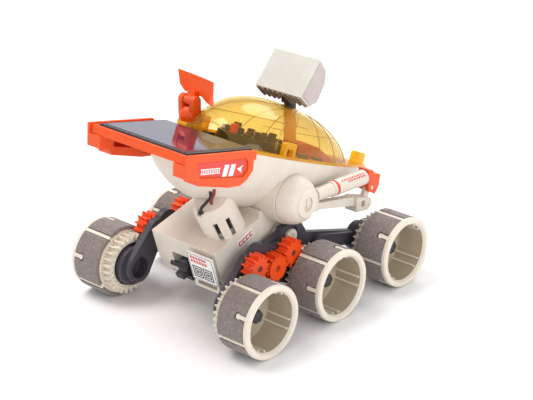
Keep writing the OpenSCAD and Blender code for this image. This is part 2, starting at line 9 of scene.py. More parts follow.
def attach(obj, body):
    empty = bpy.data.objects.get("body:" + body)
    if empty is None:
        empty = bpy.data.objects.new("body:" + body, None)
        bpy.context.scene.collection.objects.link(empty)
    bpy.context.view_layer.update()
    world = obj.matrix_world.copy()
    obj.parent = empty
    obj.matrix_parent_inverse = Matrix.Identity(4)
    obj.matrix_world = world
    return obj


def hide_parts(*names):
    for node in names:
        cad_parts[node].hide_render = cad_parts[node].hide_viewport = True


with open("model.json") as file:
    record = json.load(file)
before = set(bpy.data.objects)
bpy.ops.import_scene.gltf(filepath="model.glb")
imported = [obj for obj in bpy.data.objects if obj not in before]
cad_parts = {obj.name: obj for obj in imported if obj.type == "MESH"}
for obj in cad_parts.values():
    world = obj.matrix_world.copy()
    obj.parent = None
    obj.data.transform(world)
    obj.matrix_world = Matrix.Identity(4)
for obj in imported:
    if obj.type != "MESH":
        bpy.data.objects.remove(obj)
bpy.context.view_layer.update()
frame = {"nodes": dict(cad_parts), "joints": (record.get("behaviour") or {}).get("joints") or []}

MM = 0.001
SIDES = {"right": -1, "left": 1}
JOINT_AT = {j["name"]: Vector(j["pos_m"]) for j in frame["joints"]}

# Middle of the middle axle on the floor: the point that the legs and the hull are measured from.
ORIGIN = Vector((JOINT_AT["wheel_middle_right_spin"].x, 0, 0))


def at(x, y, z):
    """A point given in millimetres ahead of, left of and above the middle axle."""
    return ORIGIN + Vector((x, y, z)) * MM


# ---- Camera, light and floor ----

EYE = (-513.3, -468.9, 347.0)
LOOK = (0.6831, 0.6118, -0.3990)
LENS = 108.07
SENSOR = 36
WORLD_STRENGTH = 0.70
AIM = (0, 0, 0.05)


def make_camera():
    data = bpy.data.cameras.new("camera")
    data.sensor_width = SENSOR
    data.lens = LENS
    data.clip_start = 0.01
    data.clip_end = 20
    camera = bpy.data.objects.new("camera", data)
    camera.location = at(*EYE)
    camera.rotation_euler = Vector(LOOK).to_track_quat("-Z", "Y").to_euler()
    bpy.context.scene.collection.objects.link(camera)
    bpy.context.scene.camera = camera


def area_light(name, place, size, power, colour=(1, 1, 1)):
    """Round lamp at a place in metres, aimed at the middle of the object."""
    data = bpy.data.lights.new(name, "AREA")
    data.shape = "DISK"
    data.size = size
    data.energy = power
    data.color = colour
    light = bpy.data.objects.new(name, data)
    light.location = place
    light.rotation_euler = (Vector(AIM) - Vector(place)).to_track_quat("-Z", "Y").to_euler()
    bpy.context.scene.collection.objects.link(light)


def make_lights():
    world = bpy.data.worlds.new("studio")
    world.use_nodes = True
    background = world.node_tree.nodes["Background"]
    background.inputs["Color"].default_value = (1, 1, 1, 1)
    background.inputs["Strength"].default_value = WORLD_STRENGTH
    bpy.context.scene.world = world
    area_light("key", place=(-0.35, 0.55, 1.25), size=0.8, power=11.5, colour=(1, 0.99, 0.97))
    area_light("fill", place=(-0.3, -1.1, 0.45), size=0.9, power=5.5, colour=(0.98, 0.99, 1))
    area_light("back", place=(0.9, 0.2, 0.9), size=0.8, power=7)
    bpy.context.scene.view_settings.view_transform = "Standard"


# ---- Materials ----


class Nodes:
    """A material's node tree, with short ways to add what most of the materials here share."""

    def __init__(self, name):
        self.material = bpy.data.materials.new(name)
        self.material.use_nodes = True
        self.tree = self.material.node_tree
        self.bsdf = self.tree.nodes["Principled BSDF"]
        self.output = self.tree.nodes["Material Output"]
        self.place = self.add("ShaderNodeTexCoord").outputs["Object"]

    def add(self, kind, **settings):
        node = self.tree.nodes.new(kind)
        for key, value in settings.items():
            setattr(node, key, value)
        return node

    def link(self, a, b):
        self.tree.links.new(a, b)

    def grain(self, per_metre, detail=4.0, roughness=0.6):
        """Noise with that many blotches to a metre, from 0 to 1."""
        node = self.add("ShaderNodeTexNoise")
        node.inputs["Scale"].default_value = per_metre
        node.inputs["Detail"].default_value = detail
        node.inputs["Roughness"].default_value = roughness
        self.link(self.place, node.inputs["Vector"])
        return node.outputs["Fac"]

    def ramp(self, source, *stops):
        """Colour ramp through (position, colour) stops."""
        node = self.add("ShaderNodeValToRGB")
        elements = node.color_ramp.elements
        while len(elements) < len(stops):
            elements.new(0.5)
        for element, (position, colour) in zip(elements, stops):
            element.position = position
            element.color = (*colour, 1)
        self.link(source, node.inputs["Fac"])
        return node.outputs["Color"]

    def spread(self, source, low, high):
        """Maps 0.3 to 0.7 of the source on to low to high."""
        node = self.add("ShaderNodeMapRange")
        node.inputs["From Min"].default_value = 0.3
        node.inputs["From Max"].default_value = 0.7
        node.inputs["To Min"].default_value = low
        node.inputs["To Max"].default_value = high
        self.link(source, node.inputs["Value"])
        return node.outputs["Result"]

    def mix(self, factor, a, b, blend="MIX"):
        node = self.add("ShaderNodeMix", data_type="RGBA", blend_type=blend)
        for key, value in (("Factor", factor), ("A", a), ("B", b)):
            socket = node.inputs[key]
            if isinstance(value, bpy.types.NodeSocket):
                self.link(value, socket)
            elif socket.type == "RGBA":
                socket.default_value = (*value, 1)
            else:
                socket.default_value = value
        return node.outputs["Result"]

    def bump(self, source, height):
        """Raises the surface by up to height metres where the source is high."""
        node = self.add("ShaderNodeBump")
        node.inputs["Distance"].default_value = height
        node.inputs["Strength"].default_value = 0.8
        self.link(source, node.inputs["Height"])
        if self.bsdf.inputs["Normal"].links:
            self.link(self.bsdf.inputs["Normal"].links[0].from_socket, node.inputs["Normal"])
        self.link(node.outputs["Normal"], self.bsdf.inputs["Normal"])

    def set(self, **values):
        for key, value in values.items():
            self.bsdf.inputs[key.replace("_", " ")].default_value = value


def shade(colour, factor):
    return tuple(min(1.0, c * factor) for c in colour)


def plastic(name, colour, rough=0.42, depth=0.0, glow=None, grain=0.00002):
    """Moulded plastic: cloudy tone, satin skin with fine grain, and light that travels inside it."""
    n = Nodes(name)
    clouds = n.grain(90, 3)
    tone = n.ramp(clouds, (0.32, shade(colour, 0.94)), (0.68, shade(colour, 1.04)))
    n.link(tone, n.bsdf.inputs["Base Color"])
    n.link(n.spread(n.grain(600, 5), rough - 0.07, rough + 0.08), n.bsdf.inputs["Roughness"])
    n.bump(n.grain(5200, 2), grain)
    n.set(Specular_IOR_Level=0.45)
    if depth:
        n.set(Subsurface_Weight=0.35, Subsurface_Scale=depth, Subsurface_Radius=glow or (1, 0.75, 0.6))
    return n.material


def foam_material():
    """Closed-cell foam with a fleecy skin: light fibres over pits darkened with painted shade, with worn
    pale specks.
    """
    n = Nodes("foam")
    cells = n.add("ShaderNodeTexVoronoi")
    cells.inputs["Scale"].default_value = 2600
    n.link(n.place, cells.inputs["Vector"])
    clouds = n.grain(700, 6, 0.75)
    dark, middle, pale = (0.145, 0.112, 0.103), (0.235, 0.192, 0.180), (0.36, 0.31, 0.295)
    tone = n.ramp(clouds, (0.30, dark), (0.55, middle), (0.75, pale))
    # Cell centres darkened: painted shade in the foam's pits
    pit_shade = n.ramp(cells.outputs["Distance"], (0.0, (0.55, 0.53, 0.52)), (0.6, (1, 1, 1)))
    n.link(n.mix(0.55, tone, pit_shade, "MULTIPLY"), n.bsdf.inputs["Base Color"])
    n.set(Roughness=0.95, Sheen_Weight=0.25, Sheen_Roughness=0.6, Specular_IOR_Level=0.15)
    n.bump(n.grain(2400, 4, 0.8), 0.00018)
    n.bump(cells.outputs["Distance"], 0.00008)
    return n.material


def amber_material(name, tint, glow_tint, clear):
    """Clear amber plastic: tinted see-through skin that darkens towards its edges, with a gloss coat."""
    n = Nodes(name)
    through = n.add("ShaderNodeBsdfTransparent")
    gloss = n.add("ShaderNodeBsdfGlossy")
    gloss.inputs["Roughness"].default_value = 0.06
    body = n.add("ShaderNodeBsdfTranslucent")
    diffuse = n.add("ShaderNodeBsdfDiffuse")
    clouds = n.grain(60, 2)
    n.link(n.ramp(clouds, (0.3, shade(tint, 0.96)), (0.7, tint)), through.inputs["Color"])
    glow_colour = n.ramp(clouds, (0.3, shade(glow_tint, 0.94)), (0.7, glow_tint))
    n.link(glow_colour, body.inputs["Color"])
    n.link(glow_colour, diffuse.inputs["Color"])
    facing = n.add("ShaderNodeLayerWeight")
    facing.inputs["Blend"].default_value = 0.5
    edge = n.add("ShaderNodeMath", operation="POWER")
    edge.inputs[1].default_value = 4
    n.link(facing.outputs["Facing"], edge.inputs[0])
    shine = n.add("ShaderNodeMapRange")
    shine.inputs["To Min"].default_value = 0.03
    shine.inputs["To Max"].default_value = 0.45
    n.link(edge.outputs[0], shine.inputs["Value"])
    glow = n.add("ShaderNodeMixShader")
    glow.inputs[0].default_value = 0.5
    n.link(body.outputs[0], glow.inputs[1])
    n.link(diffuse.outputs[0], glow.inputs[2])
    cover = n.add("ShaderNodeMapRange")
    cover.inputs["To Min"].default_value = 1 - clear
    cover.inputs["To Max"].default_value = min(1.0, 1.12 - clear)
    n.link(facing.outputs["Facing"], cover.inputs["Value"])
    skin = n.add("ShaderNodeMixShader")
    n.link(cover.outputs["Result"], skin.inputs[0])
    n.link(through.outputs[0], skin.inputs[1])
    n.link(glow.outputs[0], skin.inputs[2])
    coat = n.add("ShaderNodeMixShader")
    n.link(shine.outputs["Result"], coat.inputs[0])
    n.link(skin.outputs[0], coat.inputs[1])
    n.link(gloss.outputs[0], coat.inputs[2])
    n.link(coat.outputs[0], n.output.inputs["Surface"])
    return n.material


def cell_material():
    """Solar cell under clear resin: grey-violet silicon with fine fingers, under a hard gloss coat."""
    n = Nodes("cell")
    fingers = n.add("ShaderNodeTexWave", wave_type="BANDS", bands_direction="Y")
    fingers.inputs["Scale"].default_value = 260
    fingers.inputs["Distortion"].default_value = 0.0
    n.link(n.place, fingers.inputs["Vector"])
    silicon = n.ramp(n.grain(240, 6, 0.7), (0.3, (0.020, 0.018, 0.048)), (0.7, (0.040, 0.036, 0.085)))
    lines = n.ramp(fingers.outputs["Fac"], (0.9, (0, 0, 0)), (1.0, (0.02, 0.02, 0.03)))
    n.link(n.mix(1.0, silicon, lines, "ADD"), n.bsdf.inputs["Base Color"])
    n.link(n.spread(n.grain(300, 5), 0.08, 0.14), n.bsdf.inputs["Roughness"])
    n.set(Specular_IOR_Level=0.6, Specular_Tint=(0.8, 0.78, 1, 1), Coat_Weight=1.0, Coat_Roughness=0.03,
          Coat_IOR=1.55, Coat_Tint=(0.88, 0.86, 1, 1))
    return n.material


def steel_material():
    n = Nodes("steel")
    n.link(n.ramp(n.grain(800, 6, 0.7), (0.3, (0.42, 0.42, 0.43)), (0.7, (0.62, 0.62, 0.62))),
           n.bsdf.inputs["Base Color"])
    n.link(n.spread(n.grain(1500, 5), 0.25, 0.42), n.bsdf.inputs["Roughness"])
    n.set(Metallic=1.0)
    return n.material


def floor_material():
    n = Nodes("floor")
    tone = n.ramp(n.grain(9, 3), (0.3, (0.87, 0.87, 0.87)), (0.7, (0.90, 0.90, 0.90)))
    n.link(tone, n.bsdf.inputs["Base Color"])
    n.set(Roughness=0.6, Specular_IOR_Level=0.2)
    return n.material


def make_materials():
    warm = (1.0, 0.55, 0.35)
    return {
        "cream": plastic("cream", (0.735, 0.665, 0.585), 0.44, 0.0012),
        "ivory": plastic("ivory", (0.74, 0.67, 0.575), 0.40, 0.0010),
        "head_shell": plastic("head_shell", (0.60, 0.575, 0.52), 0.46, 0.0010),
        # Darker pinkish grey for the head's side plates: painted shade of the head's sides
        "head_side": plastic("head_side", (0.55, 0.475, 0.46), 0.48, 0.0008),
        "ring_gear": plastic("ring_gear", (0.74, 0.67, 0.50), 0.36, 0.0014),
        "slate": plastic("slate", (0.052, 0.047, 0.062), 0.40),
        "orange": plastic("orange", (0.80, 0.085, 0.004), 0.36, 0.0010, warm),
        "gear_orange": plastic("gear_orange", (0.86, 0.075, 0.006), 0.38, 0.0010, warm),
        "black": plastic("black", (0.018, 0.018, 0.022), 0.26),
        "olive": plastic("olive", (0.055, 0.047, 0.018), 0.40),
        # Brown of painted shade and painted amber bounce light on the head's underside fins
        "grille_shade_brown": plastic("grille_shade_brown", (0.26, 0.185, 0.125), 0.6),
        "print_red": plastic("print_red", (0.68, 0.055, 0.045), 0.5, grain=0.00001),
        "print_white": plastic("print_white", (0.88, 0.86, 0.84), 0.5, grain=0.00001),
        "print_black": plastic("print_black", (0.035, 0.033, 0.036), 0.5, grain=0.00001),
        "wire_red": plastic("wire_red", (0.22, 0.012, 0.010), 0.35),
        # Darker brownish tone for the sheet inside the wheel cups: painted shade
        "cup": plastic("cup", (0.46, 0.39, 0.285), 0.5),
        "field_red": plastic("field_red", (0.74, 0.06, 0.05), 0.45, grain=0.00001),
        "rib": plastic("rib", (0.36, 0.20, 0.02), 0.35),
        "foam": foam_material(),
        "amber": amber_material("amber", (0.975, 0.885, 0.59), (1.0, 0.66, 0.12), 0.97),
        "amber_solid": amber_material("amber_solid", (0.99, 0.74, 0.20), (1.0, 0.64, 0.04), 0.45),
        "cell": cell_material(),
        "steel": steel_material(),
    }


make_camera()
make_lights()
MATERIALS = make_materials()


# ---- Mesh helpers ----


def smooth_by_angle(mesh, degrees=32):
    mesh.polygons.foreach_set("use_smooth", [True] * len(mesh.polygons))
    mesh.set_sharp_from_angle(angle=math.radians(degrees))


def piece(name, bm, body, material, bevel=0.0, steps=2, sharp=32):
    """Turns a bmesh in the row frame into a named piece that rides on a body."""
    bmesh.ops.recalc_face_normals(bm, faces=bm.faces)
    mesh = bpy.data.meshes.new(name)
    bm.to_mesh(mesh)
    bm.free()
    smooth_by_angle(mesh, sharp)
    mesh.materials.append(MATERIALS[material])
    o = bpy.data.objects.new(name, mesh)
    bpy.context.scene.collection.objects.link(o)
    if bevel:
        round_edges(o, bevel, steps)
    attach(o, body)
    return o


def round_edges(o, width_mm, steps=2, angle=32):
    m = o.modifiers.new("round", "BEVEL")
    m.width = width_mm * MM
    m.segments = steps
    m.limit_method = "ANGLE"
    m.angle_limit = math.radians(angle)
    m.use_clamp_overlap = True
    m.harden_normals = True


def add_prism(bm, outline, low, high, place):
    """Extrudes a closed outline of (u, v) from low to high along w.

    place maps (u, v, w) to the row frame.
    """
    rings = [[bm.verts.new(place(u, v, w)) for u, v in outline] for w in (low, high)]
    bm.faces.new(rings[0])
    bm.faces.new(list(reversed(rings[1])))
    for i in range(len(outline)):
        k = (i + 1) % len(outline)
        bm.faces.new((rings[0][i], rings[0][k], rings[1][k], rings[1][i]))


def add_lathe(bm, profile, place, steps=48):
    """Turns a profile of (radius, height) about w; place maps (u, v, w) to the row frame."""
    rings = []
    for r, h in profile:
        if r < 1e-6:
            rings.append([bm.verts.new(place(0, 0, h))])
            continue
        turn = [2 * math.pi * k / steps for k in range(steps)]
        rings.append([bm.verts.new(place(r * math.cos(a), r * math.sin(a), h)) for a in turn])
    for a, b in zip(rings, rings[1:]):
        for k in range(steps):
            n = (k + 1) % steps
            if len(a) == 1 and len(b) == 1:
                continue
            if len(a) == 1:
                bm.faces.new((a[0], b[k], b[n]))
            elif len(b) == 1:
                bm.faces.new((a[k], a[n], b[0]))
            else:
                bm.faces.new((a[k], a[n], b[n], b[k]))
    for ring, backwards in ((rings[0], True), (rings[-1], False)):
        if len(ring) > 1:
            bm.faces.new(list(reversed(ring)) if backwards else ring)


def arc(radius, first, last):
    """Points every 15 degrees from the first to the last on a circle about (0, 0)."""
    turns = [math.radians(a) for a in range(first, last + 1, 15)]
    return [(radius * math.cos(t), radius * math.sin(t)) for t in turns]


def turned(u, v, degrees):
    """The point (u, v) turned about (0, 0)."""
    c, s = math.cos(math.radians(degrees)), math.sin(math.radians(degrees))
    return u * c - v * s, u * s + v * c


def rectangle(u, v, wide, high):
    """Outline of a rectangle about (u, v)."""
    a, b = wide / 2, high / 2
    return [(u - a, v - b), (u + a, v - b), (u + a, v + b), (u - a, v + b)]


# ---- CAD nodes: cleaned edges and finishes ----


def edge_cleaner():
    """Geometry nodes that weld the surface and shade it smooth, apart from edges over the angle."""
    group = bpy.data.node_groups.new("edge_cleaner", "GeometryNodeTree")
    group.interface.new_socket("Geometry", in_out="INPUT", socket_type="NodeSocketGeometry")
    group.interface.new_socket("Geometry", in_out="OUTPUT", socket_type="NodeSocketGeometry")
    n = group.nodes
    weld = n.new("GeometryNodeMergeByDistance")
    weld.inputs["Distance"].default_value = 0.00001
    soft = n.new("GeometryNodeSetShadeSmooth")
    soft.domain = "FACE"
    hard = n.new("GeometryNodeSetShadeSmooth")
    hard.domain = "EDGE"
    hard.inputs["Shade Smooth"].default_value = False
    angle = n.new("GeometryNodeInputMeshEdgeAngle")
    over = n.new("FunctionNodeCompare")
    over.inputs[1].default_value = math.radians(28)
    steps = [n.new("NodeGroupInput"), weld, soft, hard, n.new("NodeGroupOutput")]
    for a, b in zip(steps, steps[1:]):
        group.links.new(a.outputs[0], b.inputs[0])
    group.links.new(angle.outputs["Unsigned Angle"], over.inputs[0])
    group.links.new(over.outputs[0], hard.inputs["Selection"])
    return group


CLEANER = edge_cleaner()

# Start of a node's name, the finish it takes, and the rounding of its edges in millimetres.
FINISHES = (
    ("gearbox_housing", "cream", 1.1),
    ("rear_bracket", "cream", 0.4),
    ("label_plate", "print_white", 0.2),
    ("star_knob", "black", 0.5),
    ("motor_cover", "cream", 0.5),
    ("motor", "steel", 0.2),
    ("panel_lead", "black", 0),
    ("hull_shell", "cream", 0.3),
    ("cockpit_deck", "olive", 0.3),
    ("cockpit_console", "orange", 0.4),
    ("canopy", "amber", 0.3),
    ("pod_cap", "cream", 0.5),
    ("pod", "cream", 0.4),
    ("solar_tray", "orange", 0.5),
    ("solar_module", "black", 0.5),
    ("end_plate", "orange", 0.6),
    ("antenna", "orange", 0.35),
    ("head_neck", "slate", 0.3),
    ("head_box", "head_shell", 1.0),
    # The head grille's brown is painted shade and painted amber bounce light
    ("head_grille", "grille_shade_brown", 0.2),
    ("tool_tube", "ivory", 0.4),
    ("tool_bar", "cream", 0.4),
    ("tool_knuckle", "orange", 0.5),
    ("pivot_pins", "ivory", 0.25),
    ("rocker", "slate", 0.5),
    ("bogie_pin", "steel", 0.15),
    ("bogie", "slate", 0.5),
    ("gear", "gear_orange", 0.12),
    ("rim", "ivory", 0.2),
    ("pads", "foam", 0.3),
    ("cap", "black", 0.3),
)


def finish_nodes():
    for name, o in frame["nodes"].items():
        material, rounding = next((m, r) for start, m, r in FINISHES if name.startswith(start))
        if o.data.materials:
            for slot in o.material_slots:
                slot.material = MATERIALS[material]
        else:
            o.data.materials.append(MATERIALS[material])
        o.modifiers.new("clean", "NODES").node_group = CLEANER
        flat = o.modifiers.new("flat", "DECIMATE")
        flat.decimate_type = "DISSOLVE"
        flat.angle_limit = math.radians(0.4)
        if rounding:
            round_edges(o, rounding)


finish_nodes()


# ---- Frames of the object's parts, matching the CAD ----


def tilted(x, z, degrees):
    """Map of a frame whose origin is at (x, z) and whose x axis is turned down by that angle."""
    c, s = math.cos(math.radians(degrees)), math.sin(math.radians(degrees))
    return lambda a, b, h: at(x + a * c + h * s, b, z - a * s + h * c)


def side_frame(side, centre=(0, 0)):
    """Map of (forward, up, distance from the middle plane) about a centre on one side."""
    return lambda u, v, w: at(centre[0] + u, SIDES[side] * w, centre[1] + v)


def wheel_centre(side, which):
    hub = JOINT_AT[f"wheel_{which}_{side}_spin"]
    return ((hub.x - ORIGIN.x) / MM, hub.z / MM)


RIM_Z, RIM_SLOPE = 72, 0.42
RIM_TILT = math.degrees(math.atan(RIM_SLOPE))
ALONG = 1 / math.cos(math.radians(RIM_TILT))
on_rim = tilted(0, RIM_Z, RIM_TILT)
TRAY_C, TRAY_TILT, TRAY_L = (-50.5, 91.0), 13.3, 22.5
on_tray = tilted(*TRAY_C, TRAY_TILT)

# ---- Wheels ----

# Cup and bumps: radii, and distances from the middle plane.
FOAM_VOXEL, COARSE_VOXEL = 0.4, 0.8
FIBRE_RISE, FIBRES_PER_METRE = 0.07, 1900
CUP_FLOOR, CUP_R, CUP_RIM = 40.3, 13.99, 55.2
BUMP_COUNT, BUMP_R, BUMP_CIRCLE, BUMP_OUT = 28, 0.78, 12.0, 33.75


def foam_pads(side, which):
    """The foam strips of a wheel: the CAD solids remeshed, softened and given a fibre-sized grain."""
    node = f"pads_{which}_{side}"
    mesh = frame["nodes"][node].data.copy()
    bm = bmesh.new()
    bm.from_mesh(mesh)
    bmesh.ops.remove_doubles(bm, verts=bm.verts, dist=0.00001)
    bm.to_mesh(mesh)
    bm.free()
    o = bpy.data.objects.new(f"foam_{which}_{side}", mesh)
    bpy.context.scene.collection.objects.link(o)
    voxels = o.modifiers.new("voxels", "REMESH")
    voxels.mode = "VOXEL"
    voxels.voxel_size = FOAM_VOXEL * MM
    soft = o.modifiers.new("soft", "SMOOTH")
    soft.factor = 0.5
    soft.iterations = 2
    depsgraph = bpy.context.evaluated_depsgraph_get()
    made = bpy.data.meshes.new_from_object(o.evaluated_get(depsgraph), depsgraph=depsgraph)
    o.modifiers.clear()
    o.data = made
    lifts = [v.normal * FIBRE_RISE * MM * noise.noise(v.co * FIBRES_PER_METRE) for v in made.vertices]
    for v, lift in zip(made.vertices, lifts):
        v.co += lift
    made.polygons.foreach_set("use_smooth", [True] * len(made.polygons))
    made.materials.clear()
    made.materials.append(MATERIALS["foam"])
    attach(o, f"wheel_{which}_{side}")
    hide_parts(node)


def cup_shade_sheet(side, which):
    """Darker sheet over the inner wall and floor of a wheel cup: painted shade inside the cup."""
    bm = bmesh.new()
    place = side_frame(side, wheel_centre(side, which))
    liner = [(3.9, CUP_FLOOR), (3.9, CUP_FLOOR + 0.2), (13.4, CUP_FLOOR + 0.2), (13.93, CUP_FLOOR + 0.8)]
    liner += [(13.93, CUP_RIM), (CUP_R, CUP_RIM), (CUP_R, CUP_FLOOR)]
    add_lathe(bm, liner, place, 64)
    piece(f"cup_{which}_{side}", bm, f"wheel_{which}_{side}", "cup")


def ring_bumps(side, which):
    """Row of round bumps on the inner face of a ring gear, inside its teeth."""
    bm = bmesh.new()
    place = side_frame(side, wheel_centre(side, which))
    for k in range(BUMP_COUNT):
        a = 2 * math.pi * (k + 0.5) / BUMP_COUNT
        u, v = BUMP_CIRCLE * math.cos(a), BUMP_CIRCLE * math.sin(a)
        made = bmesh.ops.create_uvsphere(bm, u_segments=12, v_segments=8, radius=BUMP_R * MM)
        bmesh.ops.translate(bm, verts=made["verts"], vec=place(u, v, BUMP_OUT))
    piece(f"bumps_{which}_{side}", bm, f"wheel_{which}_{side}", "ring_gear")


for side_name in SIDES:
    for wheel_name in ("rear", "middle", "front"):
        foam_pads(side_name, wheel_name)
        cup_shade_sheet(side_name, wheel_name)
        if wheel_name != "front":
            ring_bumps(side_name, wheel_name)

# ---- Canopy and cockpit ----

# Bubble: its widest place, radius there, reach to the rear and the nose, and depth of its axis.
DOME_AT = -2 * ALONG
DOME_B, DOME_BACK, DOME_NOSE, DOME_DROP = 28, 34, 70, 5
# Hull at the rim: its widest place, half width there, and reach to the rear and the nose.
HULL_AT = -16 * ALONG
HULL_B, HULL_BACK, HULL_NOSE = 29.5, 44, 114
CLIP_AT, NOSE_CLIP_AT = -4 * ALONG, 78 * ALONG
NECK_X, HEAD_PIN_Z = 27, 95
NECK_AT = NECK_X * ALONG
NECK_HOLE = 3.3
ANTENNA_AT, ANTENNA_SEAT, RECESS_R = (-19.5, 21), 86, 6
TRAY_GAP, TRAY_UNDER = 0.4, -4
RIB_R = 0.17


def dome_radius(s, less=0.0):
    """Radius of the canopy bubble at s along the rim plane."""
    d = s - DOME_AT
    reach = (DOME_BACK if d < 0 else DOME_NOSE) - less
    return (DOME_B - less) * math.sqrt(max(0, 1 - (d / reach) ** 2))


def dome_point(s, y, lift=0.0):
    """A point of the bubble over (s, y) of the rim plane, or None outside it."""
    inside = dome_radius(s, -lift) ** 2 - y * y
    if inside <= DOME_DROP ** 2:
        return None
    return on_rim(s, y, math.sqrt(inside) - DOME_DROP)


def hull_half_width(s):
    d = s - HULL_AT
    if d < 0:
        return HULL_B * math.sqrt(max(0, 1 - (d / HULL_BACK) ** 2))
    arc = (HULL_NOSE ** 2 + HULL_B ** 2) / (2 * HULL_B)
    return max(0, math.sqrt(arc ** 2 - d * d) - arc + HULL_B)


def cut_for_tray(bm):
    """Takes away what would lie in the room of the solar tray."""
    origin = on_tray(0, 0, 0)
    forward = on_tray(1, 0, 0) - origin
    upward = on_tray(0, 0, 1) - origin
    for normal, reach in ((forward, TRAY_L + TRAY_GAP), (upward, TRAY_UNDER)):
        unit = normal.normalized()
        bmesh.ops.bisect_plane(bm, geom=bm.verts[:] + bm.edges[:] + bm.faces[:], plane_no=unit,
                               plane_co=origin + unit * reach * MM, dist=1e-7)
    inside = []
    for face in bm.faces:
        d = face.calc_center_median() - origin
        ahead, above = d.dot(forward.normalized()) / MM, d.dot(upward.normalized()) / MM
        if ahead < TRAY_L + TRAY_GAP and above > TRAY_UNDER:
            inside.append(face)
    bmesh.ops.delete(bm, geom=inside, context="FACES")


def dome_height(x, y):
    """Height of the bubble over a point of the middle-axle frame, or None beside it."""
    c, s = math.cos(math.radians(RIM_TILT)), math.sin(math.radians(RIM_TILT))

    def inside(z):
        along, up = x * c - (z - RIM_Z) * s, x * s + (z - RIM_Z) * c
        return y * y + (up + DOME_DROP) ** 2 < dome_radius(along) ** 2

    low, high = ANTENNA_SEAT, ANTENNA_SEAT + 30
    if not inside(low):
        return None
    for _ in range(24):
        middle = (low + high) / 2
        low, high = (middle, high) if inside(middle) else (low, middle)
    return low


def recess_point(turn):
    """Point of the recess's round edge at that angle."""
    a = math.radians(turn)
    x, y = ANTENNA_AT
    return x + RECESS_R * math.cos(a), y + RECESS_R * math.sin(a)


def cut_recess(bm):
    """Takes the round recess of the antenna out of the bubble and lines it with a wall."""
    centre = at(*ANTENNA_AT, 0)
    near = 1.6 * RECESS_R * MM
    sides = 24
    for k in range(sides):
        a = 2 * math.pi * k / sides
        outward = Vector((math.cos(a), math.sin(a), 0))
        faces = [f for f in bm.faces if (f.calc_center_median() - centre).xy.length < near]
        edges = list({e for f in faces for e in f.edges})
        verts = list({v for f in faces for v in f.verts})
        bmesh.ops.bisect_plane(bm, geom=verts + edges + faces, plane_no=outward,
                               plane_co=centre + outward * RECESS_R * MM, dist=1e-7)
    seat = at(0, 0, ANTENNA_SEAT).z
    inside = []
    for face in bm.faces:
        middle = face.calc_center_median()
        if (middle - centre).xy.length < RECESS_R * MM and middle.z > seat:
            inside.append(face)
    bmesh.ops.delete(bm, geom=inside, context="FACES")
    strip = []
    for k in range(97):
        x, y = recess_point(-180 + 180 * k / 96)
        top = dome_height(x, y)
        if top:
            strip.append([bm.verts.new(at(x, y, z)) for z in (ANTENNA_SEAT, top)])
    for a, b in zip(strip, strip[1:]):
        bm.faces.new((a[0], b[0], b[1], a[1]))


def canopy_dome():
    bm = bmesh.new()
    share = math.sqrt(1 - (DOME_DROP / DOME_B) ** 2)
    back, nose = DOME_AT - DOME_BACK * share, DOME_AT + DOME_NOSE * share
    rows, columns = 72, 48
    grid = []
    for i in range(rows + 1):
        s = back + (nose - back) * (1 - math.cos(math.pi * i / rows)) / 2
        r = dome_radius(s)
        if i in (0, rows):
            grid.append([bm.verts.new(on_rim(s, 0, 0))] * (columns + 1))
            continue
        widest = math.acos(min(1, DOME_DROP / r))
        turns = [widest * (2 * j / columns - 1) for j in range(columns + 1)]
        row = [on_rim(s, r * math.sin(t), r * math.cos(t) - DOME_DROP) for t in turns]
        grid.append([bm.verts.new(point) for point in row])
    for a, b in zip(grid, grid[1:]):
        for j in range(columns):
            corners = list(dict.fromkeys((a[j], a[j + 1], b[j + 1], b[j])))
            if len(corners) > 2:
                bm.faces.new(corners)
    cut_for_tray(bm)
    neck = [f for f in bm.faces if (f.calc_center_median() - at(NECK_X, 0, 0)).xy.length < NECK_HOLE * MM]
    bmesh.ops.delete(bm, geom=neck, context="FACES")
    cut_recess(bm)
    o = piece("canopy_dome", bm, "chassis", "amber")
    wall = o.modifiers.new("wall", "SOLIDIFY")
    wall.thickness = 1.2 * MM
    wall.offset = -1
    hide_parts("canopy")


def canopy_flange():
    """Flat rim that seats the bubble on the hull."""
    bm = bmesh.new()
    start, steps = -38, 80
    for side in (-1, 1):
        rings = []
        for i in range(steps + 1):
            s = start + (NOSE_CLIP_AT - start) * i / steps
            outer = hull_half_width(s)
            inner = min(outer - 0.3, math.sqrt(max(0.01, dome_radius(s) ** 2 - DOME_DROP ** 2)) - 0.6)
            inner = max(inner, 0.0)
            section = [(inner, 0.05), (outer, 0.05), (outer, 1.0), (outer - 0.3, 1.3), (inner, 1.3)]
            rings.append([bm.verts.new(on_rim(s, side * y, h)) for y, h in section])
        for a, b in zip(rings, rings[1:]):
            for k in range(5):
                bm.faces.new((a[k], a[(k + 1) % 5], b[(k + 1) % 5], b[k]))
        bm.faces.new(rings[0])
        bm.faces.new(list(reversed(rings[-1])))
    cut_for_tray(bm)
    piece("canopy_flange", bm, "chassis", "amber_solid")


def canopy_clips():
    """Two side clips and a front one: an arch with a hooked top."""
    bm = bmesh.new()
    arch = [(-4, 0), (-4, 7), (-2.4, 7.6), (3.6, 7.6), (4, 7), (4, 0)]
    arch += [(2.2, 0), (2.2, 4.6), (-2.2, 4.6), (-2.2, 0)]
    for side in (-1, 1):
        add_prism(bm, arch, side * 25.6, side * 28.6, lambda u, v, w: on_rim(CLIP_AT - 3 + u, w, v))
    tooth = [(-2.6, 0), (-2.6, 6.4), (-1, 6.4), (-1, 2.4), (1, 2.4), (1, 6.4), (2.6, 6.4), (2.6, 0)]
    add_prism(bm, tooth, NOSE_CLIP_AT - 3, NOSE_CLIP_AT + 3, lambda u, v, w: on_rim(w, u, v))
    piece("canopy_clips", bm, "chassis", "amber_solid", bevel=0.35)


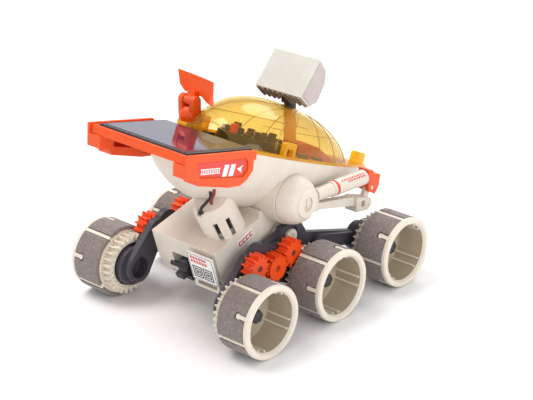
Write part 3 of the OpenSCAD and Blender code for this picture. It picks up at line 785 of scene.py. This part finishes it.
def canopy_boss():
    """Stub that carries the antenna."""
    bm = bmesh.new()
    top = ANTENNA_SEAT
    add_lathe(bm, [(0, 76), (5.6, 76), (6, 79), (6, top - 1), (5.4, top), (1.75, top), (1.75, 80), (0, 80)],
              lambda u, v, w: at(ANTENNA_AT[0] + u, ANTENNA_AT[1] + v, w))
    piece("canopy_boss", bm, "chassis", "amber_solid", bevel=0.2)


def add_tube(bm, points, radius, sides=8):
    """Round wire of that radius in millimetres through points of the row frame."""
    rings = []
    for i, p in enumerate(points):
        along = (points[min(i + 1, len(points) - 1)] - points[max(i - 1, 0)]).normalized()
        across = across - along * across.dot(along) if rings else along.orthogonal()
        across.normalize()
        third = along.cross(across)
        turns = [2 * math.pi * k / sides for k in range(sides)]
        spokes = [across * math.cos(t) + third * math.sin(t) for t in turns]
        rings.append([bm.verts.new(p + spoke * radius * MM) for spoke in spokes])
    for a, b in zip(rings, rings[1:]):
        for k in range(sides):
            bm.faces.new((a[k], a[(k + 1) % sides], b[(k + 1) % sides], b[k]))
    bm.faces.new(list(reversed(rings[0])))
    bm.faces.new(rings[-1])


def canopy_ribs():
    """Moulded lines on the bubble: spokes from the neck and one ring low on its flank."""
    bm = bmesh.new()
    for turn in (-150, -112, -75, -38, 38, 75, 112, 150):
        c, s = math.cos(math.radians(turn)), math.sin(math.radians(turn))
        spoke = [dome_point(NECK_AT + d * c, d * s, 0.05) for d in [4.5 + 1.2 * k for k in range(60)]]
        spoke = spoke[:spoke.index(None)] if None in spoke else spoke
        add_tube(bm, spoke, RIB_R, 6)
    level, back, ahead, steps = 17, 16, 52, 60
    for side in (-1, 1):
        ring = []
        for k in range(steps + 1):
            s = DOME_AT - back + (back + ahead) * k / steps
            y = math.sqrt(max(0, dome_radius(s) ** 2 - level ** 2))
            ring.append(on_rim(s, side * y, level - DOME_DROP))
        add_tube(bm, ring, RIB_R, 6)
    cut_for_tray(bm)
    piece("canopy_ribs", bm, "chassis", "rib")


def add_block(bm, u, v, base, wide, deep, high):
    """Block that stands on the rim plane's own frame."""
    add_prism(bm, rectangle(u, v, wide, deep), base, base + high, on_rim)


def cockpit_fittings():
    """Instrument blocks, dials and levers on the dark deck, with a few bright ones."""
    dark, bright = bmesh.new(), bmesh.new()
    for k in range(10):
        a = 2 * math.pi * k / 10
        u, v = -4 * ALONG + 11.5 * math.cos(a), 11.5 * math.sin(a)
        target = bright if k % 4 == 1 else dark
        add_block(target, u, v, 4.4, 3.2, 2.6, 1.4 + 1.5 * (k % 3))
        add_block(dark, 0.62 * u - 1.5, 0.62 * v, 4.4, 2.2, 2.2, 2.2 + (k % 2))
    for k in range(7):
        a = math.radians(-75 + 25 * k)
        u, v = 14 * ALONG + 9.4 * math.cos(a), 9.4 * math.sin(a)
        add_block(bright if k % 3 == 0 else dark, u, v, 3.4, 2.4, 2.8, 1.6 + 0.9 * (k % 2))
    for side in (-1, 1):
        for k in range(5):
            target = bright if k % 2 else dark
            add_block(target, -6 + 9 * k, side * (22.5 - 0.4 * k * k), -1.1, 5.4, 3.6, 1.8 + (k % 3))
    piece("cockpit_fittings", dark, "chassis", "olive", bevel=0.3)
    piece("cockpit_levers", bright, "chassis", "orange", bevel=0.3)


def console_fan():
    """Fan of rounded orange ridges that rises ahead of the instrument bank."""
    bm = bmesh.new()
    start = 25 * ALONG
    for k in range(-3, 4):
        turn = math.radians(11 * k)
        c, s = math.cos(turn), math.sin(turn)
        long = 24 - 1.6 * abs(k)

        def on_fan(u, v, w):
            """u out along the ridge, v up and w across it."""
            return on_rim(start + u * c - w * s, u * s + w * c, v)

        side = [(4.5, -0.9), (4.5, 4.6), (9, 6.4), (15, 5.6), (4.5 + long, 1.2), (4.5 + long, -0.9)]
        add_prism(bm, side, -1.15, 1.15, on_fan)
    fan = piece("console_fan", bm, "chassis", "orange", bevel=0.45)
    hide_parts("cockpit_console")


def yoke_cone():
    """Solid foot between the cheeks of the antenna's yoke."""
    bm = bmesh.new()
    add_lathe(bm, [(0, 88.2), (4.9, 88.2), (4.7, 89.4), (3.6, 91.2), (2.4, 92.2), (0, 92.2)],
              lambda u, v, w: at(ANTENNA_AT[0] + u, ANTENNA_AT[1] + v, w))
    piece("yoke_cone", bm, "antenna", "orange", bevel=0.2)


def neck_pieces():
    """Neck in two tones: dark above the bubble, clear amber for the post inside it."""
    top, post = bmesh.new(), bmesh.new()
    foot, level, shoulder = 58.5, 84.0, 87.5

    def upright(u, v, w):
        return at(NECK_X + u, v, w)

    def across(u, v, w):
        """(u, v) ahead of and above the head's pin, w along the pin."""
        return at(NECK_X + u, w, HEAD_PIN_Z + v)

    add_lathe(post, [(0, foot), (2.6, foot), (3, foot + 0.5), (3, level), (0, level)], upright)
    add_lathe(top, [(0, level), (3, level), (3, shoulder), (0, shoulder)], upright)
    add_prism(top, [(-3.1, -8.4), (3.1, -8.4), (3.1, 0), *arc(3.2, 15, 165), (-3.1, 0)], -3, 3, across)
    add_prism(top, arc(1, 0, 345), -7, 7, across)
    o = piece("neck_top", top, "neck", "slate", bevel=0.2)
    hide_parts("head_neck")
    piece("neck_post", post, "neck", "amber_solid")


console_fan()
yoke_cone()
neck_pieces()
canopy_dome()
canopy_flange()
canopy_clips()
canopy_boss()
canopy_ribs()
cockpit_fittings()

# ---- Solar tray ----

PLATE_FACE = 30.2


def solar_module():
    """Resin-backed black slab with the glossy cell let into its top."""
    slab = bmesh.new()
    add_prism(slab, rectangle(0.75, 0, 42.3, 54.2), -1.6, 0.75, on_tray)
    back = piece("module_back", slab, "chassis", "black", bevel=0.6, steps=3)
    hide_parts("solar_module")
    cell = bmesh.new()
    add_prism(cell, rectangle(1.3, 0.6, 38.4, 50.0), 0.5, 0.9, on_tray)
    piece("module_cell", cell, "chassis", "cell", bevel=0.15)


def end_plate_marks(side):
    """Red field on an end plate, with a white ladder, two slanted bars and an arrowhead."""
    red, white = bmesh.new(), bmesh.new()
    place = side_frame(side)
    outline = [(-68.0, 91.9), (-38.0, 85.1), (-36.6, 83.0), (-37.1, 79.8), (-39.8, 77.8), (-66.0, 85.2)]
    add_prism(red, outline, PLATE_FACE - 0.1, PLATE_FACE + 0.12, place)

    def print_on_field(shape):
        """White shape drawn along and up the printed line, which starts at the field's rear end."""
        on_plate = [turned(u, v, -13.2) for u, v in shape]
        moved = [(u - 65.6, v + 87.9) for u, v in on_plate]
        add_prism(white, moved, PLATE_FACE + 0.1, PLATE_FACE + 0.22, place)

    for v in (-1.05, 1.05):
        print_on_field(rectangle(6.4, v - 0.6, 12.4, 0.42))
    for k in range(11):
        print_on_field(rectangle(0.9 + 1.1 * k, -0.6, 0.5, 1.5))
    for k in range(2):
        a = 14.2 + 4.2 * k
        print_on_field([(a, -3.6), (a + 2.9, -3.6), (a + 3.9, 1.7), (a + 1.0, 1.7)])
    print_on_field([(23.2, -0.6), (26.8, -2.4), (26.2, -0.4), (27.4, 1.0)])
    piece(f"plate_field_{side}", red, "chassis", "field_red", bevel=0.05)
    piece(f"plate_marks_{side}", white, "chassis", "print_white")


solar_module()
for side_name in SIDES:
    end_plate_marks(side_name)

# ---- Body details ----


def label_marks():
    """Print on the rear label: a thin frame, two rows of red ticks and two nests of black squares."""
    red, black = bmesh.new(), bmesh.new()
    plate = tilted(-46.6, 29.2, -17)

    def on_label(u, v, w):
        """u to the right as seen from behind, v up, w out of the plate's rear face."""
        return plate(-0.5 - w, -12.4 - u, v)

    def frame_of(bm, u, v, wide, high, line):
        for s in (-1, 1):
            add_prism(bm, rectangle(u, v + s * (high - line) / 2, wide, line), 0.0, 0.06, on_label)
            add_prism(bm, rectangle(u + s * (wide - line) / 2, v, line, high), 0.0, 0.06, on_label)

    frame_of(black, 0, 0, 15.0, 15.0, 0.25)
    for row in range(2):
        for k in range(6):
            add_prism(red, rectangle(-5.6 + 1.7 * k, 5.6 - 2.2 * row, 1.2, 1.5), 0.0, 0.06, on_label)
    for k in range(2):
        for size in (5.8, 3.6, 1.4):
            frame_of(black, -3.4 + 6.4 * k, -2.6, size, size * 1.15, 0.6)
    piece("label_red", red, "chassis", "print_red")
    piece("label_black", black, "chassis", "print_black")


def roof_sticker():
    """Narrow sticker on the right flank of the housing, near its roof."""
    base, red = bmesh.new(), bmesh.new()
    flank = tilted(-26.6, 39.7, -20)

    def on_flank(u, v, w):
        """(u, v) along and up the sticker, w out of the flank."""
        return flank(u, -20 - w, v)

    add_prism(base, rectangle(0, 0, 11.2, 4.2), -0.1, 0.16, on_flank)
    for k in range(4):
        u = -3.7 + 2.55 * k
        add_prism(red, rectangle(u, 0.95, 2.1, 0.6), 0.1, 0.24, on_flank)
        add_prism(red, rectangle(u, -0.95, 2.1, 0.6), 0.1, 0.24, on_flank)
        add_prism(red, rectangle(u - 0.75, 0, 0.6, 1.6), 0.1, 0.24, on_flank)
    piece("roof_sticker", base, "chassis", "print_white")
    piece("roof_sticker_marks", red, "chassis", "print_red")


def smooth_path(points, steps=10):
    """Catmull-Rom curve through points of the middle-axle frame, as row-frame points."""
    ends = [points[0], *points, points[-1]]
    path = []
    for i in range(1, len(ends) - 2):
        p0, p1, p2, p3 = (Vector(p) for p in ends[i - 1:i + 3])
        for k in range(steps):
            t = k / steps
            path.append(0.5 * (2 * p1 + (p2 - p0) * t + (2 * p0 - 5 * p1 + 4 * p2 - p3) * t * t
                               + (3 * p1 - p0 - 3 * p2 + p3) * t ** 3))
    path.append(Vector(points[-1]))
    return [at(*p) for p in path]


def leads():
    """Black lead from the hull into the motor cover, with its red twin beside it."""
    black, red = bmesh.new(), bmesh.new()
    route = [(-42.8, -14, 68.5), (-42.8, -14, 63.8), (-45, -13.2, 61.4), (-47.3, -12.3, 59)]
    route += [(-46, -11.9, 56.4)]
    add_tube(black, smooth_path(route), 0.75, 12)
    twin = [(-42.4, -16, 69), (-42.8, -16.2, 66.2), (-43.6, -15.6, 63.6), (-43.4, -15, 61)]
    add_tube(red, smooth_path(twin), 0.7, 12)
    o = piece("lead_black", black, "chassis", "black")
    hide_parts("panel_lead")
    piece("lead_red", red, "chassis", "wire_red")


HEAD_OUTLINE = ((0, 0.9), (20.7, 0), (19.2, 7.5), (14.6, 11.4), (4.8, 13.2), (0, 9.6))


def on_head(a, b, w):
    """a up the rear face of the head, b into the box and w across it."""
    return tilted(17.4, HEAD_PIN_Z, -44)(a, -w, -b)


def head_panels():
    """Cover plate on each side of the head, a little smaller than the side itself, in a darker pinkish grey
    that paints the shade on the head's sides.
    """
    bm = bmesh.new()
    middle = (10.0, 6.2)
    outline = [tuple(m + 0.88 * (p - m) for p, m in zip(point, middle)) for point in HEAD_OUTLINE]
    for side in (-1, 1):
        add_prism(bm, outline, side * 14.2, side * 14.75, on_head)
    piece("head_panels", bm, "head", "head_side", bevel=0.25)


def roof_ring():
    """Faint moulded ring on the roof of the housing, behind the motor cover."""
    bm = bmesh.new()
    on_roof = tilted(-43.4, 39.94, -14.6)
    add_lathe(bm, [(2.2, -0.1), (2.2, 0.1), (2.6, 0.14), (3.0, 0.1), (3.0, -0.1)], on_roof)
    piece("roof_ring", bm, "chassis", "cream")


label_marks()
roof_ring()
roof_sticker()
leads()
head_panels()

# ---- Tool arms ----

TUBE_START, TUBE_TURN, TUBE_Y = (10.95, 51.9), 93.3, 29.4


def tube_marks(side):
    """Red band round the tool tube and rows of small red ticks on its outer side."""
    bm = bmesh.new()
    turn = math.radians(TUBE_TURN)

    def on_tube(u, v, w):
        """w along the tube, (u, v) across it."""
        return at(TUBE_START[0] + w * math.sin(turn) + u * math.cos(turn), SIDES[side] * TUBE_Y + v,
                  TUBE_START[1] + w * math.cos(turn) - u * math.sin(turn))

    add_lathe(bm, [(3.7, 13.0), (3.86, 13.0), (3.86, 14.6), (3.7, 14.6)], on_tube, 48)
    for row, lift in enumerate((0, 20)):
        for k in range(9 - 2 * row):
            start = 17.2 + 1.9 * k + 4 * row
            patch = []
            for a in range(5):
                t = math.radians(205 + lift + 3.4 * a)
                x, y = 3.86 * math.cos(t), 3.86 * math.sin(t) * -SIDES[side]
                patch.append([bm.verts.new(on_tube(x, y, w)) for w in (start, start + 1.2)])
            for a, b in zip(patch, patch[1:]):
                bm.faces.new((a[0], a[1], b[1], b[0]))
    piece(f"tube_marks_{side}", bm, f"tool_arm_{side}", "print_red")


for side_name in SIDES:
    tube_marks(side_name)

# ---- Floor and finish ----


def make_floor():
    """Paper sweep: a flat floor that curves up behind the object, turned to face the camera."""
    bm = bmesh.new()
    reach, flat, rise, facing = 3.0, 1.6, 1.2, 42
    bends = [math.radians(a) for a in range(10, 91, 10)]
    profile = [(-reach, 0), (flat, 0)]
    profile += [(flat + rise * math.sin(t), rise * (1 - math.cos(t))) for t in bends]
    rows = [[bm.verts.new((x, y, z)) for y in (-reach, reach)] for x, z in profile]
    for a, b in zip(rows, rows[1:]):
        bm.faces.new((a[0], a[1], b[1], b[0]))
    turn = Matrix.Rotation(math.radians(facing), 3, "Z")
    bmesh.ops.rotate(bm, verts=bm.verts, cent=(0, 0, 0), matrix=turn)
    mesh = bpy.data.meshes.new("floor")
    bm.to_mesh(mesh)
    bm.free()
    mesh.materials.append(floor_material())
    o = bpy.data.objects.new("floor", mesh)
    bpy.context.scene.collection.objects.link(o)


make_floor()
